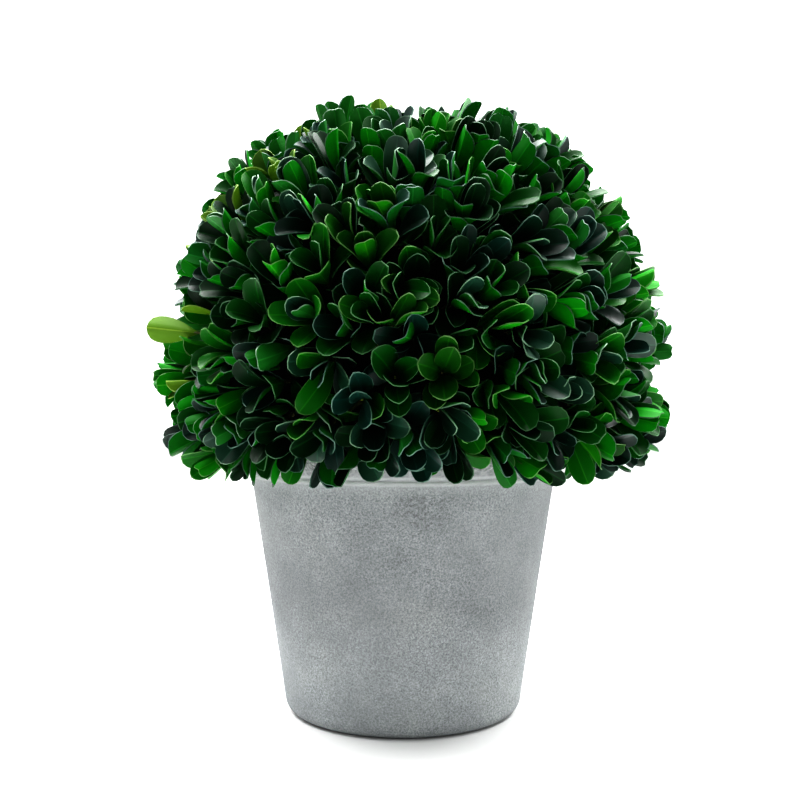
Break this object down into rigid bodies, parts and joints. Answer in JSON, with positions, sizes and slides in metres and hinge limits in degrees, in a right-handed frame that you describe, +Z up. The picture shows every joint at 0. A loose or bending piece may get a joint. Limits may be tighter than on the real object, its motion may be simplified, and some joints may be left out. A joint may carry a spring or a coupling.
{
  "type": "potted topiary ball",
  "caption": "Clipped ball of small evergreen leaves on a short hidden stem, standing in a tapered round concrete pot with a flat underside.",
  "frame": {"origin": "centre of the pot's flat underside", "axes": "+Z up along the pot's axis; -Y is the side that faces the camera in the picture, +X is to its right"},
  "size_m": [0.2129, 0.2076, 0.2498],
  "materials": {
    "concrete": "matt light grey cast concrete, mottled, fine speckle",
    "grey_foam": "matt grey granular dry foam",
    "bark": "rough brown bark",
    "leaves": "waxy preserved leaves, dark blue green above, lighter green below, pale rim"
  },
  "bodies": {
    "root": {"pot": "concrete", "ball_foot": "grey_foam", "stem": "bark", "foliage": "leaves"}
  },
  "joints": []
}
